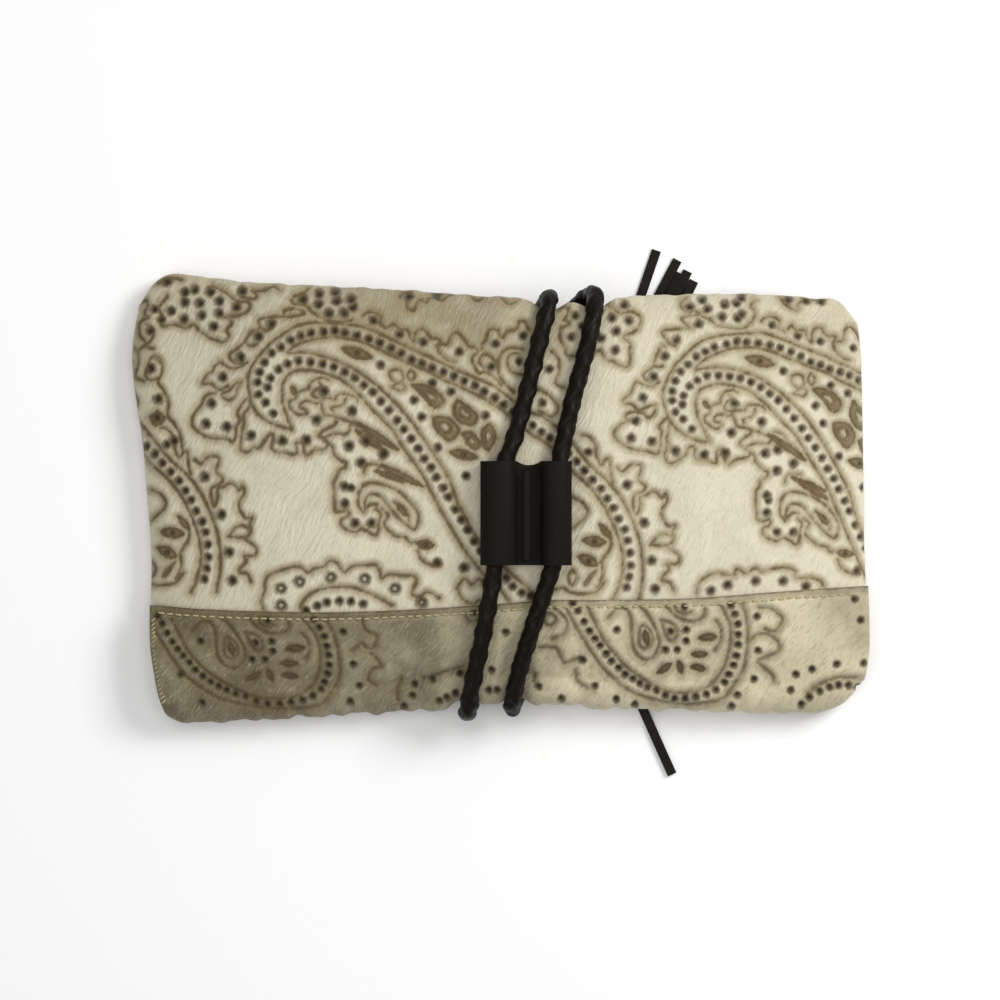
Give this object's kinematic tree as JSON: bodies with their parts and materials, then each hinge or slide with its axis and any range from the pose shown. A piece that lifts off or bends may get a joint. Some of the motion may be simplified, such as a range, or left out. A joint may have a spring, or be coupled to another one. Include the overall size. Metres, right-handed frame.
{
  "type": "clutch bag",
  "caption": "Soft envelope clutch of printed hair-on hide, its mouth closed by a folded flap and tied round the middle with a braided leather cord, with a leather keeper and a tassel.",
  "frame": {"origin": "middle of the bounding box's base, on the ground that the bag's back lies on", "axes": "+X to the bag's right as seen from its front, +Y up the bag from the flap's fold to the top fold, +Z out of the bag's front"},
  "size_m": [0.2848, 0.201, 0.0446],
  "materials": {
    "pouch_body": "matt short-haired cow hide, hair side out",
    "flap": "matt short-haired cow hide, hair side out, darker",
    "cord_left": "semi-gloss black braided leather",
    "cord_right": "semi-gloss black braided leather",
    "keeper": "satin black leather",
    "cord_anchor": "satin black leather",
    "tassel": "semi-gloss black leather laces"
  },
  "bodies": {
    "root": {"pouch_body": "pouch_body", "flap": "flap", "cord_left": "cord_left", "cord_right": "cord_right", "keeper": "keeper", "cord_anchor": "cord_anchor", "tassel": "tassel"}
  },
  "joints": []
}
